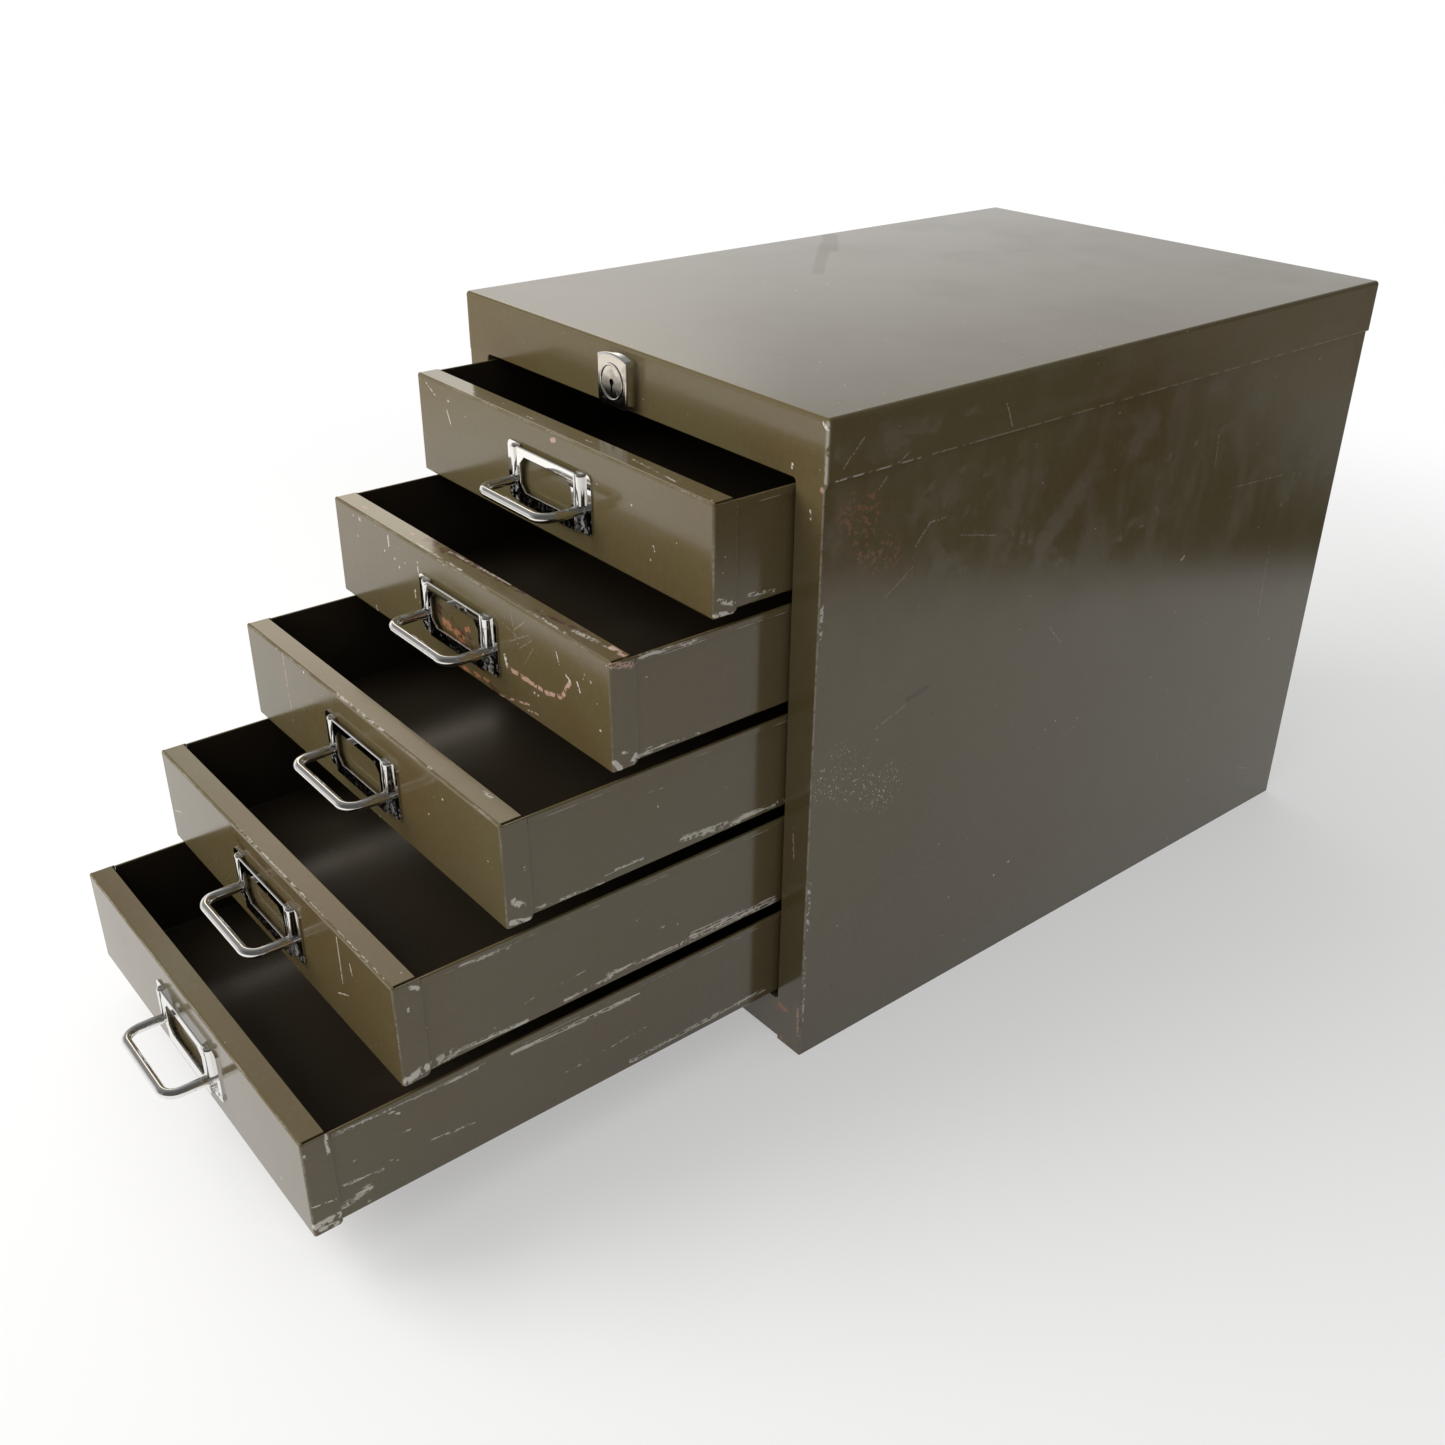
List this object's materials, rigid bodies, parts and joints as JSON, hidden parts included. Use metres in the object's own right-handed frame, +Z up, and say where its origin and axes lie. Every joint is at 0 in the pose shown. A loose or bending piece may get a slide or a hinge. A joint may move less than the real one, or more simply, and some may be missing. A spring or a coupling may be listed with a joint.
{
  "type": "small drawer cabinet",
  "caption": "Tall desktop steel cabinet of shallow drawers, each with a card frame and a wire pull, under a central lock that bolts them all.",
  "frame": {"origin": "centre of the carcass footprint, on the floor it stands on", "axes": "+X right seen from the front, +Y from the drawer fronts towards the back, +Z up"},
  "size_m": [0.28, 0.6863, 0.328],
  "materials": {
    "cabinet_paint": "grey-green stove enamel, dulled and scratched",
    "drawer_paint": "grey-green stove enamel, semi-gloss, scratched",
    "drawer_inside": "dark inside, grey-green outside",
    "inner_steel": "dull grey-green paint",
    "bright_chrome": "polished, lightly rusted at the joints",
    "lock_chrome": "satin",
    "plated_steel": "zinc plated, dull"
  },
  "bodies": {
    "carcass": {"top_and_front_shell": "cabinet_paint", "side_panel_right": "cabinet_paint", "side_panel_left": "cabinet_paint", "floor_pan": "inner_steel", "back_panel": "cabinet_paint", "runner_right_1": "inner_steel", "runner_left_1": "inner_steel", "runner_right_2": "inner_steel", "runner_left_2": "inner_steel", "runner_right_3": "inner_steel", "runner_left_3": "inner_steel", "runner_right_4": "inner_steel", "runner_left_4": "inner_steel", "runner_right_5": "inner_steel", "runner_left_5": "inner_steel", "top_kicker_right": "inner_steel", "top_kicker_left": "inner_steel", "lock_body": "lock_chrome", "lock_nut": "plated_steel", "rod_bracket": "plated_steel", "bar_guide_upper": "plated_steel", "bar_guide_lower": "plated_steel"},
    "drawer_1": {"drawer_1_tray": "drawer_inside", "drawer_1_front": "drawer_paint", "drawer_1_card_frame": "bright_chrome", "drawer_1_pull": "bright_chrome", "drawer_1_pull_nuts": "plated_steel", "drawer_1_catch": "plated_steel"},
    "drawer_2": {"drawer_2_tray": "drawer_inside", "drawer_2_front": "drawer_paint", "drawer_2_card_frame": "bright_chrome", "drawer_2_pull": "bright_chrome", "drawer_2_pull_nuts": "plated_steel", "drawer_2_catch": "plated_steel"},
    "drawer_3": {"drawer_3_tray": "drawer_inside", "drawer_3_front": "drawer_paint", "drawer_3_card_frame": "bright_chrome", "drawer_3_pull": "bright_chrome", "drawer_3_pull_nuts": "plated_steel", "drawer_3_catch": "plated_steel"},
    "drawer_4": {"drawer_4_tray": "drawer_inside", "drawer_4_front": "drawer_paint", "drawer_4_card_frame": "bright_chrome", "drawer_4_pull": "bright_chrome", "drawer_4_pull_nuts": "plated_steel", "drawer_4_catch": "plated_steel"},
    "drawer_5": {"drawer_5_tray": "drawer_inside", "drawer_5_front": "drawer_paint", "drawer_5_card_frame": "bright_chrome", "drawer_5_pull": "bright_chrome", "drawer_5_pull_nuts": "plated_steel", "drawer_5_catch": "plated_steel"},
    "lock_cylinder": {"lock_plug": "lock_chrome", "lock_rod": "plated_steel", "lock_crank": "plated_steel"},
    "lock_bar": {"locking_bar": "plated_steel"}
  },
  "joints": [
    {"name": "drawer_1_slide", "type": "slide", "parent": "carcass", "child": "drawer_1", "axis": [0, -1, 0], "range_m": [-0.0425, 0.2675]},
    {"name": "drawer_2_slide", "type": "slide", "parent": "carcass", "child": "drawer_2", "axis": [0, -1, 0], "range_m": [-0.0952, 0.2148]},
    {"name": "drawer_3_slide", "type": "slide", "parent": "carcass", "child": "drawer_3", "axis": [0, -1, 0], "range_m": [-0.1501, 0.1599]},
    {"name": "drawer_4_slide", "type": "slide", "parent": "carcass", "child": "drawer_4", "axis": [0, -1, 0], "range_m": [-0.2034, 0.1066]},
    {"name": "drawer_5_slide", "type": "slide", "parent": "carcass", "child": "drawer_5", "axis": [0, -1, 0], "range_m": [-0.2495, 0.0605]},
    {"name": "lock_turn", "type": "hinge", "parent": "carcass", "child": "lock_cylinder", "pos_m": [-0.001, -0.2, 0.312], "axis": [0, 1, 0], "range_deg": [0, 90]},
    {"name": "lock_bar_slide", "type": "slide", "parent": "carcass", "child": "lock_bar", "axis": [0, 0, -1], "range_m": [0, 0.01414]}
  ],
  "couplings": [
    {"joint": "lock_turn", "follows": "lock_bar_slide", "rad_per_m": 111.07}
  ]
}
